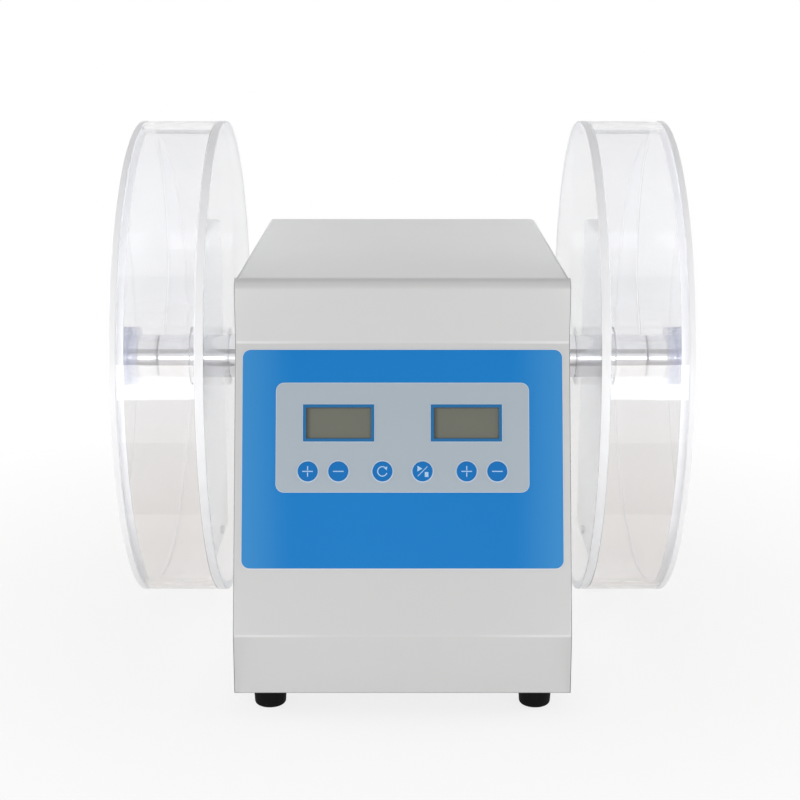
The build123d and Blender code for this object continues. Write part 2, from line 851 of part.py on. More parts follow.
def make_fuse_drawer():
    """Fuse drawer under the rocker, with a lip to pull."""
    drawer = entry_box(drawer_width, drawer_height, entry_flange - drawer_depth, entry_flange, up=drawer_up)
    lip = entry_box(
        drawer_width + 2, drawer_height + 0.4, entry_flange, entry_flange + drawer_lip, up=drawer_up
    )
    pocket = entry_box(
        drawer_width - 3, drawer_height - 2, entry_flange - drawer_depth + 2, entry_flange - 3, up=drawer_up + 1
    )
    return drawer + lip - pocket


def make_rocker():
    """Rocker with a shallow V face, tilted to one side at rest."""
    half = rocker_length / 2
    with BuildSketch(Plane.YZ) as side_view:
        Circle(half)
        with BuildLine():
            Polyline((-5, -half), (-5, half), (3, half), (1.6, 0), (3, -half), close=True)
        make_face(mode=Mode.INTERSECT)
    rocker = extrude(side_view.sketch, amount=rocker_width / 2, both=True)
    pin_length = rocker_width + 2 * rocker_pin_length
    rocker += Rot(0, 90, 0) * Cylinder(rocker_pin_diameter / 2, pin_length)
    return rocker_pivot() * Rot(rocker_tilt, 0, 0) * rocker


def make_sleeve():
    """Polished sleeve on the shaft that carries the drum, with a spigot that centres the lid."""
    sleeve = bar(side_x + sleeve_gap, plug_x, sleeve_radius)
    sleeve += bar(plug_x, lid_x - spigot_short, spigot_diameter / 2)
    return sleeve - bar(side_x, lid_x, shaft_radius + slip_fit)


def make_drum_back():
    """Disc that closes the drum on the housing's side."""
    return tube(back_x, chamber_x, rim_outer, sleeve_radius + slip_fit)


def make_drum_rim():
    """Round wall of the drum."""
    return tube(chamber_x, lip_x, rim_outer, rim_inner)


def set_screw_x():
    """Where the collar's screws sit along the shaft."""
    return chamber_x + set_screw_inset


def make_drum_collar():
    """Clear collar on the back plate, tapped for two screws that grip the sleeve."""
    collar = tube(chamber_x, chamber_x + collar_length, collar_diameter / 2, sleeve_radius + slip_fit)
    hole = Cylinder(set_screw_diameter / 2 + slip_fit, collar_diameter * 2)
    return collar - Pos(set_screw_x(), axis_y, axis_z) * hole


def make_collar_screws():
    """Headless screws of both collars, each with its point on the sleeve."""
    pieces = []
    cone = set_screw_diameter / 4
    for side in (-1, 1):
        for up in (-1, 1):
            body = Pos(0, 0, cone + (set_screw_length - cone) / 2)
            screw = body * Cylinder(set_screw_diameter / 2, set_screw_length - cone)
            screw += Pos(0, 0, cone / 2) * Cone(set_screw_diameter / 4, set_screw_diameter / 2, cone)
            screw = Pos(0, 0, sleeve_radius) * screw
            turned = screw if up > 0 else Rot(180, 0, 0) * screw
            pieces.append(Pos(side * set_screw_x(), axis_y, axis_z) * turned)
    return Compound(children=pieces)


def make_scoop():
    """Curved arm from the hub to the rim that lifts and drops the tablets once a turn."""
    half = rim_inner / 2
    centre_y = axis_y - sqrt(scoop_radius ** 2 - half ** 2)
    ring = Circle(scoop_radius + scoop_thickness) - Circle(scoop_radius)
    length = drum_depth - scoop_edge_gap
    arm = Pos(chamber_x, centre_y, axis_z + half) * extrude(Plane.YZ * ring, amount=length)
    arm &= bar(chamber_x, chamber_x + length, rim_inner)
    arm &= block((chamber_x - 1, axis_y, axis_z), (lid_x, axis_y + rim_outer, axis_z + rim_outer))
    return arm - bar(chamber_x - 1, lid_x, collar_diameter / 2)


def make_lid():
    """Lid: a plug that fits inside the rim and a lip that covers its end."""
    bore = spigot_diameter / 2 + lid_bore_clearance
    plug = tube(plug_x, lip_x, rim_inner - lid_clearance, bore)
    lip = tube(lip_x, lid_x, rim_outer, bore)
    return plug + lip


def make_boss():
    """Metal boss of the knob: it presses the lid on."""
    return tube(lid_x, knob_x, boss_diameter / 2, stud_diameter / 2 + thread_clearance)


def make_knob():
    """Fluted head of the locking knob, moulded on the boss."""
    knob = bar(knob_x, knob_end_x, knob_diameter / 2)
    knob = fillet(knob.edges().filter_by(GeomType.CIRCLE).sort_by(Axis.X)[-1], 2)
    ring = knob_diameter / 2 + knob_flute_radius - knob_flute_depth
    for i in range(knob_flutes):
        angle = 2 * pi * i / knob_flutes
        y = axis_y + ring * cos(angle)
        z = axis_z + ring * sin(angle)
        flute = Rot(0, 90, 0) * Cylinder(knob_flute_radius, knob_length * 3)
        knob -= Pos(knob_end_x, y, z) * flute
    depth = knob_length - stud_end_gap + 1
    return knob - bar(knob_x, knob_x + depth, stud_diameter / 2 + thread_clearance)


os.makedirs("parts", exist_ok=True)
parts = {
    "front_panel": make_front_panel(),
    "housing_cover": make_cover(),
    "base_tray": make_base_tray(),
    "rear_panel": make_rear_panel(),
    "foot_screws": make_foot_screws(),
    "cover_screws": make_cover_screws(),
    "panel_overlay": make_overlay(),
    "key_plate": make_key_plate(),
    "display_frames": make_display_frames(),
    "display_left": make_display(-1),
    "display_right": make_display(1),
    "key_switches": make_key_switches(),
    "control_board": make_board(),
    "board_standoffs": make_standoffs(),
    "drive_gear": make_drive_gear(),
    "pinion": make_pinion(),
    "motor_shaft": make_motor_shaft(),
    "gearbox": make_gearbox(),
    "motor": make_motor(),
    "motor_bracket": make_motor_bracket(),
    "drive_shaft": make_shaft(),
    "set_collar": make_set_collar(),
    "counter_disc": make_counter_disc(),
    "counter_sensor": make_sensor(),
    "power_supply": make_supply(),
    "mains_entry": make_entry(),
    "inlet_pins": make_pins(),
    "fuse_drawer": make_fuse_drawer(),
    "power_rocker": make_rocker(),
    "collar_screws": make_collar_screws(),
}
for name, (x, y) in zip(["front_left", "front_right", "rear_left", "rear_right"], foot_sites()):
    parts["foot_" + name] = make_foot(x, y)
for name, x in zip(key_names, key_places):
    parts["key_" + name] = make_key(x)
for name, make in {
    "upright": make_upright,
    "bush": make_bush,
    "hub_sleeve": make_sleeve,
    "drum_back": make_drum_back,
    "drum_rim": make_drum_rim,
    "drum_collar": make_drum_collar,
    "drum_scoop": make_scoop,
    "drum_lid": make_lid,
    "knob_boss": make_boss,
    "lid_knob": make_knob,
}.items():
    right = make()
    parts[name + "_right"] = right
    parts[name + "_left"] = mirrored(right)

for name, shape in parts.items():
    export_step(shape, f"parts/{name}.step")
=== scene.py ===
import json
from math import atan2, cos, hypot, pi, radians, sin

import bmesh
import bpy
from mathutils import Matrix, Vector

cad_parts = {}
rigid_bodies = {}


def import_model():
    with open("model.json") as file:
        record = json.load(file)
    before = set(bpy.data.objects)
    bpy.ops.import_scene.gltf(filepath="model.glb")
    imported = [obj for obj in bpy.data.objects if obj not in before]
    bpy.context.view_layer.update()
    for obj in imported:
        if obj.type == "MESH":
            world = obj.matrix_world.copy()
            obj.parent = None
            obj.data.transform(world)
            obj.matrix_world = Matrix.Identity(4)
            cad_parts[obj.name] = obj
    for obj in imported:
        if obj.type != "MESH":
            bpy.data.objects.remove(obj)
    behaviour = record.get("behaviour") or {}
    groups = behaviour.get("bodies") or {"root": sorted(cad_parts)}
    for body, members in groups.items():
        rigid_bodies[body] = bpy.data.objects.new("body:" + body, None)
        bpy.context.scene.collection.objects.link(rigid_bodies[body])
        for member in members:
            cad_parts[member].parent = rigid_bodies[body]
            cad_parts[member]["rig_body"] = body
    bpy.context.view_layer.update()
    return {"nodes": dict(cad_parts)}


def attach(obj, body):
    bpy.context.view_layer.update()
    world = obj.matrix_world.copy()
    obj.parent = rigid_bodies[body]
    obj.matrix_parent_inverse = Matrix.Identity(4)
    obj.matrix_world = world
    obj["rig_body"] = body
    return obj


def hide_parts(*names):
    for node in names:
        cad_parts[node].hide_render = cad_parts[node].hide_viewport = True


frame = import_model()
nodes = frame["nodes"]


# Table: white paper that takes the object's shadow and turns to plain white further out. Seen
# through the clear drums it is warmer, and dimmer near the object.
def new_material(name):
    """A material, its node tree and its shader."""
    material = bpy.data.materials.new(name)
    material.use_nodes = True
    return material, material.node_tree, material.node_tree.nodes["Principled BSDF"]


def new_mesh(name, bm):
    mesh = bpy.data.meshes.new(name)
    bm.to_mesh(mesh)
    bm.free()
    return mesh


def new_object(name, data):
    thing = bpy.data.objects.new(name, data)
    bpy.context.scene.collection.objects.link(thing)
    return thing


def feed(tree, socket, given):
    """Links a socket to another one, or sets it to a number or a colour."""
    if isinstance(given, bpy.types.NodeSocket):
        tree.links.new(given, socket)
    else:
        socket.default_value = given


def math_node(tree, operation, *given, clamp=False):
    node = tree.nodes.new("ShaderNodeMath")
    node.operation = operation
    node.use_clamp = clamp
    for socket, value in zip(node.inputs, given):
        feed(tree, socket, value)
    return node.outputs[0]


def range_node(tree, value, start, end, low=0.0, high=1.0, shape="LINEAR"):
    """Runs from low to high while the value runs from start to end."""
    node = tree.nodes.new("ShaderNodeMapRange")
    node.interpolation_type = shape
    given = {"Value": value, "From Min": start, "From Max": end, "To Min": low, "To Max": high}
    for label, limit in given.items():
        feed(tree, node.inputs[label], limit)
    return node.outputs[0]


def colour_mix(tree, share, first, second):
    node = tree.nodes.new("ShaderNodeMix")
    node.data_type = "RGBA"
    feed(tree, node.inputs["Factor"], share)
    feed(tree, node.inputs["A"], first)
    feed(tree, node.inputs["B"], second)
    return node.outputs["Result"]


def shader_mix(tree, share, first, second):
    node = tree.nodes.new("ShaderNodeMixShader")
    feed(tree, node.inputs["Fac"], share)
    feed(tree, node.inputs[1], first)
    feed(tree, node.inputs[2], second)
    return node.outputs[0]


def rays(tree, *kinds):
    """1 for rays of any of these kinds, and 0 for others."""
    path = tree.nodes.new("ShaderNodeLightPath")
    found = path.outputs[kinds[0]]
    for kind in kinds[1:]:
        found = math_node(tree, "MAXIMUM", found, path.outputs[kind])
    return found


def mirror_rays(tree):
    """1 for rays off a mirror. Rays through glass count as glossy too, so they are taken away."""
    glossy = rays(tree, "Is Glossy Ray")
    through_glass = rays(tree, "Is Transmission Ray")
    return math_node(tree, "SUBTRACT", glossy, through_glass, clamp=True)


def either(tree, test, met, unmet):
    """One number where the test is 1, and another where it is 0."""
    return math_node(tree, "MULTIPLY_ADD", test, met - unmet, unmet)


seen_rays = ("Is Camera Ray", "Is Glossy Ray", "Is Transmission Ray")


def studio_table():
    """Paper that takes the object's shadow, and turns to plain white further out."""
    half_width = 6.0
    paper_tone = (0.88, 0.868, 0.852, 1)
    warm_tone = (0.9, 0.76, 0.62, 1)
    fade_start = 0.18
    bm = bmesh.new()
    bmesh.ops.create_grid(bm, x_segments=1, y_segments=1, size=half_width)
    table = new_object("studio_floor", new_mesh("studio_floor", bm))
    material, tree, paper = new_material("studio_paper")
    paper.inputs["Roughness"].default_value = 0.9
    paper.inputs["Specular IOR Level"].default_value = 0.1
    tone = colour_mix(tree, rays(tree, "Is Transmission Ray"), paper_tone, warm_tone)
    tree.links.new(tone, paper.inputs["Base Color"])
    white = tree.nodes.new("ShaderNodeEmission")
    white.inputs["Color"].default_value = (1, 1, 1, 1)
    coord = tree.nodes.new("ShaderNodeTexCoord")
    distance = tree.nodes.new("ShaderNodeVectorMath")
    distance.operation = "LENGTH"
    tree.links.new(coord.outputs["Object"], distance.inputs[0])
    mirrored = mirror_rays(tree)
    not_through_glass = math_node(tree, "MAXIMUM", rays(tree, "Is Camera Ray"), mirrored)
    fade_end = either(tree, not_through_glass, 0.5, 1.1)
    least = either(tree, not_through_glass, 0.8, 0.47)
    most = either(tree, mirrored, 0.8, 1.0)
    fade = range_node(tree, distance.outputs["Value"], fade_start, fade_end, least, most)
    share = math_node(tree, "MULTIPLY", fade, rays(tree, *seen_rays))
    shown = shader_mix(tree, share, paper.outputs[0], white.outputs[0])
    tree.links.new(shown, tree.nodes["Material Output"].inputs["Surface"])
    table.data.materials.append(material)


studio_table()


# Air and lamps: a plain white surround, two long softboxes in front on either side of the camera,
# and a large soft light beyond each drum. Grey cards that only mirrors and glass see give the
# polished metal its dark lines.
sides = {"left": -1, "right": 1}


def studio_air():
    """White to the eye, in glass and in mirrors, and a plainer level for lighting."""
    light_level = 0.365
    world = bpy.data.worlds.new("studio_air")
    bpy.context.scene.world = world
    world.use_nodes = True
    tree = world.node_tree
    air = tree.nodes["Background"]
    air.inputs["Color"].default_value = (1, 1, 1, 1)
    air.inputs["Strength"].default_value = light_level
    white = tree.nodes.new("ShaderNodeBackground")
    white.inputs["Color"].default_value = (1, 1, 1, 1)
    shown = shader_mix(tree, rays(tree, *seen_rays), air.outputs[0], white.outputs[0])
    tree.links.new(shown, tree.nodes["World Output"].inputs["Surface"])


def softbox(name, middle, target, width, height, power, mirrored=True):
    lamp = bpy.data.lights.new(name, "AREA")
    lamp.shape = "RECTANGLE"
    lamp.size = width
    lamp.size_y = height
    lamp.energy = power
    box = new_object(name, lamp)
    box.location = middle
    box.rotation_euler = (Vector(target) - Vector(middle)).to_track_quat("-Z", "Y").to_euler()
    box.visible_camera = False
    box.visible_glossy = mirrored


def grey_card(name, middle, width, height, tilt, tone, through_glass):
    """A card that mirrors see, and that glass sees where it is asked to."""
    bm = bmesh.new()
    bmesh.ops.create_grid(bm, x_segments=1, y_segments=1, size=0.5)
    bmesh.ops.scale(bm, vec=(width, height, 1), verts=bm.verts[:])
    bmesh.ops.rotate(bm, cent=(0, 0, 0), matrix=Matrix.Rotation(tilt, 3, "X"), verts=bm.verts[:])
    bmesh.ops.translate(bm, vec=middle, verts=bm.verts[:])
    card = new_object(name, new_mesh(name, bm))
    material, _, shader = new_material(name)
    shader.inputs["Base Color"].default_value = (tone, tone, tone, 1)
    shader.inputs["Roughness"].default_value = 0.9
    card.data.materials.append(material)
    card.visible_camera = False
    card.visible_diffuse = False
    card.visible_shadow = False
    card.visible_transmission = through_glass


studio_air()
for way in sides.values():
    softbox(
        "front_strip", middle=(way * 0.64, -1.1, 0.158), target=(way * 0.15, -0.1, 0.158), width=0.95,
        height=0.368, power=4.7,
    )
    softbox(
        "side_light", middle=(way * 1.6, 0.1, 0.5), target=(0, 0, 0.15), width=1.2, height=1.0, power=13,
        mirrored=False,
    )
    grey_card(
        "low_card", middle=(way * 0.18, -0.215, 0.03), width=0.18, height=0.142, tilt=radians(-23.3),
        tone=0.08, through_glass=False,
    )
grey_card(
    "high_card", middle=(0.0, -1.192, 1.043), width=3.0, height=0.64, tilt=radians(54), tone=0.5,
    through_glass=True,
)
cycles = bpy.context.scene.cycles
cycles.max_bounces = 32
cycles.transmission_bounces = 32
cycles.transparent_max_bounces = 32
cycles.glossy_bounces = 16


# Camera: a 74 mm lens on a full-frame body, about a metre in front of the object and a little
# above it, looking down by 14 degrees.
optics = bpy.data.cameras.new("photo_view")
optics.sensor_width = 36.0
optics.lens = 73.95
optics.shift_x = -0.003125
camera = new_object("photo_view", optics)
camera.location = (0.0, -1.0093, 0.38306)
camera.rotation_euler = (radians(76.329), 0, 0)
bpy.context.scene.camera = camera
bpy.context.scene.view_settings.view_transform = "Standard"


# Housing: front, cover, back and tray of 1.5 mm sheet steel, folded, and coated with light grey
# powder paint. The paint has a fine orange-peel grain. The front sheet's edges that face sideways
# or down are darker with painted shade, and its two folds are paler with a painted highlight.
def paint(red, green, blue):
    """A colour from its display numbers, 0 to 255."""
    return tuple((level / 255) ** 2.2 for level in (red, green, blue)) + (1.0,)


def grey(level):
    return paint(level, level, level)


def node_group(name, inputs, outputs):
    group = bpy.data.node_groups.new(name, "ShaderNodeTree")
    for label, kind, value in inputs:
        socket = group.interface.new_socket(label, in_out="INPUT", socket_type=kind)
        if value is not None:
            socket.default_value = value
    for label, kind in outputs:
        group.interface.new_socket(label, in_out="OUTPUT", socket_type=kind)
    return group, group.nodes.new("NodeGroupInput"), group.nodes.new("NodeGroupOutput")


def noise(tree, size, detail):
    """Clouds that keep their place on the piece. A larger size number makes them finer."""
    coord = tree.nodes.new("ShaderNodeTexCoord")
    node = tree.nodes.new("ShaderNodeTexNoise")
    node.inputs["Detail"].default_value = detail
    tree.links.new(coord.outputs["Object"], node.inputs["Vector"])
    feed(tree, node.inputs["Scale"], size)
    return node.outputs["Fac"]


def coated_surface():
    """Fine grain for a bump, and slow clouds for tone and gloss."""
    group, start, end = node_group(
        "coated_surface",
        [
            ("Grain Size", "NodeSocketFloat", 1200.0),
            ("Cloud Size", "NodeSocketFloat", 14.0),
            ("Gloss Low", "NodeSocketFloat", 0.4),
            ("Gloss High", "NodeSocketFloat", 0.5),
            ("Light", "NodeSocketColor", None),
            ("Dark", "NodeSocketColor", None),
        ],
        [("Color", "NodeSocketColor"), ("Roughness", "NodeSocketFloat"), ("Height", "NodeSocketFloat")],
    )
    given = start.outputs
    grain = noise(group, given["Grain Size"], 2.0)
    cloud = noise(group, given["Cloud Size"], 4.0)
    tone = colour_mix(group, cloud, given["Light"], given["Dark"])
    gloss = range_node(group, cloud, 0.0, 1.0, given["Gloss Low"], given["Gloss High"])
    group.links.new(tone, end.inputs["Color"])
    group.links.new(gloss, end.inputs["Roughness"])
    group.links.new(grain, end.inputs["Height"])
    return group


coated = coated_surface()


def coat(name, light, dark, gloss, grain=1200.0, depth=0.02, cloud=14.0, **sockets):
    """A finish with that surface and a grain of some depth in mm. Sockets are numbers of the shader."""
    material, tree, shader = new_material(name)
    look = tree.nodes.new("ShaderNodeGroup")
    look.node_tree = coated
    look.inputs["Grain Size"].default_value = grain
    look.inputs["Cloud Size"].default_value = cloud
    look.inputs["Gloss Low"].default_value = gloss[0]
    look.inputs["Gloss High"].default_value = gloss[1]
    look.inputs["Light"].default_value = light
    look.inputs["Dark"].default_value = dark
    bump = tree.nodes.new("ShaderNodeBump")
    bump.inputs["Strength"].default_value = 0.5
    bump.inputs["Distance"].default_value = depth * 0.001
    tree.links.new(look.outputs["Height"], bump.inputs["Height"])
    tree.links.new(look.outputs["Color"], shader.inputs["Base Color"])
    tree.links.new(look.outputs["Roughness"], shader.inputs["Roughness"])
    tree.links.new(bump.outputs["Normal"], shader.inputs["Normal"])
    for socket, value in sockets.items():
        shader.inputs[socket.replace("_", " ")].default_value = value
    return material


def shade(mesh, angle=40):
    mesh.shade_smooth()
    mesh.set_sharp_from_angle(angle=radians(angle))


def add_piece(name, mesh, body, material, replaced=()):
    """The finished mesh as a piece that rides on a body."""
    piece = new_object(name, mesh)
    mesh.materials.clear()
    mesh.materials.append(material)
    even = piece.modifiers.new("even_shading", "WEIGHTED_NORMAL")
    even.keep_sharp = True
    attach(piece, body)
    if replaced:
        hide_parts(*replaced)
    return piece


def dressed(name, node, material, edge=0.0, segments=2, angle=35, chosen=None):
    """The frame's own shape with its edges broken, as a deburred or moulded piece has them."""
    same_point = 2e-6
    same_plane = radians(0.4)
    bm = bmesh.new()
    bm.from_mesh(nodes[node].data)
    bmesh.ops.remove_doubles(bm, verts=bm.verts[:], dist=same_point)
    bmesh.ops.dissolve_limit(bm, angle_limit=same_plane, verts=bm.verts[:], edges=bm.edges[:])
    if edge:
        sharp = [e for e in bm.edges if len(e.link_faces) == 2 and e.calc_face_angle(0) > radians(angle)]
        if chosen:
            sharp = [e for e in sharp if chosen(e)]
        bmesh.ops.bevel(
            bm, geom=sharp, offset=edge, offset_type="OFFSET", segments=segments, profile=0.5,
            affect="EDGES", clamp_overlap=not chosen, material=-1,
        )
    mesh = new_mesh(name, bm)
    shade(mesh)
    return add_piece(name, mesh, nodes[node]["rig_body"], material, [node])


def finish_some(piece, material, found):
    """Another finish on the faces that the test finds."""
    piece.data.materials.append(material)
    for face in piece.data.polygons:
        if found(face):
            face.material_index = len(piece.data.materials) - 1


sheets = ("housing_cover", "rear_panel", "base_tray", "front_panel")
sheet_points = [v.co for sheet in sheets for v in nodes[sheet].data.vertices]
housing_low = [min(point[axis] for point in sheet_points) for axis in range(3)]
housing_high = [max(point[axis] for point in sheet_points) for axis in range(3)]


def outer_edge(edge):
    """Along the outline of the housing: a side, the bottom, the front or the rear."""
    on_limit = 1e-5
    shortest = 0.0003
    ends = [v.co for v in edge.verts]
    found = [
        all(abs(end[axis] - limit[axis]) < on_limit for end in ends)
        for axis in range(3)
        for limit in (housing_low, housing_high)
    ]
    return any(found) and edge.calc_length() > shortest


def front_edge(edge):
    """The part of that outline that faces forward or up."""
    return outer_edge(edge) and any(f.normal.y < -0.2 or f.normal.z > 0.2 for f in edge.link_faces)


def rounded_edge(face):
    """The rounded edges that face sideways or down."""
    sideways = 0.25 < abs(face.normal.x) < 0.97
    down = -0.97 < face.normal.z < -0.25
    return sideways or down


def front_fold(face):
    """The two soft folds across the front, below the bend at the top."""
    tilted_up = 0.02 < face.normal.z < 0.29
    facing_front = abs(face.normal.x) < 0.1
    below_bend = face.center.z < 0.21
    return tilted_up and facing_front and below_bend


def point_on_piece(tree):
    """X, Y and Z of the shaded point, as sockets."""
    coord = tree.nodes.new("ShaderNodeTexCoord")
    split = tree.nodes.new("ShaderNodeSeparateXYZ")
    tree.links.new(coord.outputs["Object"], split.inputs[0])
    return split.outputs


def painted_highlight_toward_sides(material, pale, inner, outer, most):
    """A painted highlight: a pale tint that grows toward the sheet's two sides."""
    tree = material.node_tree
    base = tree.nodes["Principled BSDF"].inputs["Base Color"]
    across = math_node(tree, "ABSOLUTE", point_on_piece(tree)["X"])
    share = range_node(tree, across, inner, outer, high=most, shape="SMOOTHSTEP")
    tree.links.new(colour_mix(tree, share, base.links[0].from_socket, pale), base)


lacquer = {"Specular_IOR_Level": 0.4, "Coat_Weight": 0.4, "Coat_Roughness": 0.1}
powder = coat("grey_powder_paint", grey(202), grey(198), (0.285, 0.33), grain=900.0, **lacquer)
# Painted shade: a much darker grey for the front sheet's rounded edges that face sideways or down.
edge_shade_paint = coat("edge_shade_powder_paint", grey(140), grey(132), (0.3, 0.4), grain=900.0)
# Painted highlight: a paler grey along the two folds across the front, paler still toward the sides.
fold_highlight_paint = coat("fold_highlight_powder_paint", grey(204), grey(200), (0.285, 0.33), grain=900.0, **lacquer)
painted_highlight_toward_sides(fold_highlight_paint, grey(232), inner=0.03, outer=0.085, most=0.42)
for sheet in ("housing_cover", "rear_panel", "base_tray"):
    dressed(sheet + "_sheet", sheet, powder, edge=0.0004, chosen=outer_edge)
front = dressed(
    "front_panel_sheet", "front_panel", powder, edge=0.0009, segments=4, chosen=front_edge
)
# The front sheet's edges that face sideways or down get the painted shade.
finish_some(front, edge_shade_paint, rounded_edge)
finish_some(front, fold_highlight_paint, front_fold)


# Screws of the housing: bright zinc-plated pan heads along the foot of the cover, and the screw
# and nut that hold each foot to the tray. They keep the frame's own shape.
def finished(node, material):
    """The frame's own shape with another finish."""
    piece = nodes[node]
    piece.data.materials.clear()
    piece.data.materials.append(material)


zinc = coat(
    "bright_zinc", (0.62, 0.63, 0.64, 1), (0.52, 0.53, 0.55, 1), (0.29, 0.4), grain=700.0, depth=0.01,
    Metallic=1.0,
)
for fixing in ("cover_screws", "foot_screws"):
    finished(fixing, zinc)


# Feet: four moulded black rubber feet, narrower at the table. A screw up through the middle of
# each one holds it to the tray.
rubber = coat(
    "black_rubber", (0.003, 0.003, 0.003, 1), (0.005, 0.005, 0.005, 1), (0.6, 0.8), grain=1500.0, depth=0.05,
    Specular_IOR_Level=0.08,
)
for corner in ("front_left", "front_right", "rear_left", "rear_right"):
    dressed("foot_" + corner + "_rubber", "foot_" + corner, rubber)


# Control panel: one printed blue sheet bonded to the slope, and a grey printed plate in its
# opening that frames the keys and two small displays behind blue-edged windows.
ink = {"grain": 1500.0, "depth": 0.006}
blue_print = coat(
    "blue_print", paint(30, 124, 196), paint(26, 119, 191), (0.42, 0.5), cloud=9.0, Specular_IOR_Level=0.15,
    **ink,
)
# Painted reflection: the blue print is paler toward its two sides.
painted_highlight_toward_sides(blue_print, paint(92, 160, 210), inner=0.058, outer=0.09, most=0.36)
grey_print = coat("grey_print", paint(165, 176, 186), paint(161, 172, 182), (0.33, 0.4), cloud=9.0, **ink)
dressed("overlay_sheet", "panel_overlay", blue_print, edge=0.00012)
dressed("key_plate_sheet", "key_plate", grey_print, edge=0.0001)

frame_blue = coat(
    "display_frame_blue", paint(42, 108, 160), paint(36, 102, 154), (0.3, 0.4), Specular_IOR_Level=0.2, **ink,
)
dressed("display_frames_trim", "display_frames", frame_blue, edge=0.0001)


def paint_shade_under_frame(material, left, apart, top, reach, tone):
    """Painted shade: each window is darker along its left and top edges, where the frame stands over it."""
    tree = material.node_tree
    base = tree.nodes["Principled BSDF"].inputs["Base Color"]
    point = point_on_piece(tree)
    along = math_node(tree, "WRAP", point["X"], left + apart, left)
    from_left = range_node(tree, along, left, left + reach, low=tone, shape="SMOOTHERSTEP")
    from_top = range_node(tree, point["Z"], top, top - reach / 3, low=tone, shape="SMOOTHERSTEP")
    dim = tree.nodes.new("ShaderNodeVectorMath")
    dim.operation = "SCALE"
    tree.links.new(base.links[0].from_socket, dim.inputs[0])
    tree.links.new(math_node(tree, "MINIMUM", from_left, from_top), dim.inputs["Scale"])
    tree.links.new(dim.outputs[0], base)


window = coat(
    "display_window", paint(104, 106, 95), paint(99, 101, 90), (0.1, 0.16), grain=300.0, depth=0.001,
    cloud=6.0,
)
# Painted shade along the windows' left and top edges.
paint_shade_under_frame(window, left=-0.0530, apart=0.0702, top=0.1653, reach=0.0035, tone=0.5)
for side in sides:
    dressed("display_window_" + side, "display_" + side, window, edge=0.00015)


# Keys: six round blue membrane keys with white printed signs. A pale ring round each key on the grey
# plate is a painted highlight, and pale lines go round the displays and along the plate's own edge.
slope = atan2(49.5, 153.0)
slope_foot = Vector((0.0, -0.170, 0.0465))
panel_place = Matrix.Translation(slope_foot) @ Matrix.Rotation(pi / 2 - slope, 4, "X")
overlay_middle = (0.0, 0.0967)
plate_middle = (0.0, 0.1083)
display_apart = 0.0702
display_row = 0.1163
key_row = 0.0897
overlay_face = 0.00001
plate_face = 0.0007
key_face = 0.0014
mark_depth = 0.00004
sign_length = 0.0058
sign_line = 0.00055


def turned_to(x, y, angle):
    """The place of a printed shape about a point of the panel."""
    return Matrix.Translation((x, y, 0)) @ Matrix.Rotation(angle, 4, "Z")


def flat_bar(bm, x, y, width, height, angle=0.0):
    bar = turned_to(x, y, angle) @ Matrix.Diagonal((width, height, 1, 1))
    bmesh.ops.create_grid(bm, x_segments=1, y_segments=1, size=0.5, matrix=bar)


def flat_triangle(bm, x, y, radius, angle):
    bmesh.ops.create_circle(bm, cap_ends=True, segments=3, radius=radius, matrix=turned_to(x, y, angle))


def flat_ring(bm, radius, width, steps, start=0.0, sweep=2 * pi, middle=(0, 0)):
    """A flat ring or part of one, spun from a short line."""
    centre = Vector((*middle, 0))
    inner = bm.verts.new(centre + Vector((radius - width / 2, 0, 0)))
    outer = bm.verts.new(centre + Vector((radius + width / 2, 0, 0)))
    line = bm.edges.new((inner, outer))
    bmesh.ops.rotate(bm, verts=[inner, outer], cent=centre, matrix=Matrix.Rotation(start, 3, "Z"))
    bmesh.ops.spin(
        bm, geom=[inner, outer, line], cent=centre, axis=(0, 0, 1), angle=sweep, steps=steps,
        use_merge=sweep == 2 * pi,
    )


def flat_frame(bm, width, height, corner, line):
    """A flat line round a rectangle with round corners."""
    x = width / 2 - corner
    y = height / 2 - corner
    for way in (-1, 1):
        flat_bar(bm, 0, way * (height / 2 + line / 2), 2 * x, line)
        flat_bar(bm, way * (width / 2 + line / 2), 0, line, 2 * y)
    for quarter, (across, up) in enumerate(((1, 1), (-1, 1), (-1, -1), (1, -1))):
        middle = (across * x, up * y)
        flat_ring(bm, corner + line / 2, line, 8, start=quarter * pi / 2, sweep=pi / 2, middle=middle)


def minus_sign(bm):
    flat_bar(bm, 0, 0, sign_length, sign_line)


def plus_sign(bm):
    """A minus with a short arm above and below it."""
    arm_middle = 0.00173
    arm_length = 0.00235
    minus_sign(bm)
    for way in (1, -1):
        flat_bar(bm, 0, way * arm_middle, sign_line, arm_length)


def turn_sign(bm):
    """A round arrow."""
    radius = 0.0026
    head = radians(42)
    flat_ring(bm, radius, sign_line, steps=40, start=radians(50), sweep=radians(290))
    flat_triangle(bm, radius * cos(head), radius * sin(head), radius=0.0012, angle=radians(-40))


def run_sign(bm):
    """A triangle and a block, parted by a slanting line."""
    flat_triangle(bm, x=-0.0019, y=0.0015, radius=0.0018, angle=-pi / 2)
    flat_bar(bm, x=0.0, y=0.0, width=0.0074, height=0.0004, angle=radians(45))
    flat_bar(bm, x=0.0022, y=-0.0017, width=0.0020, height=0.0027)


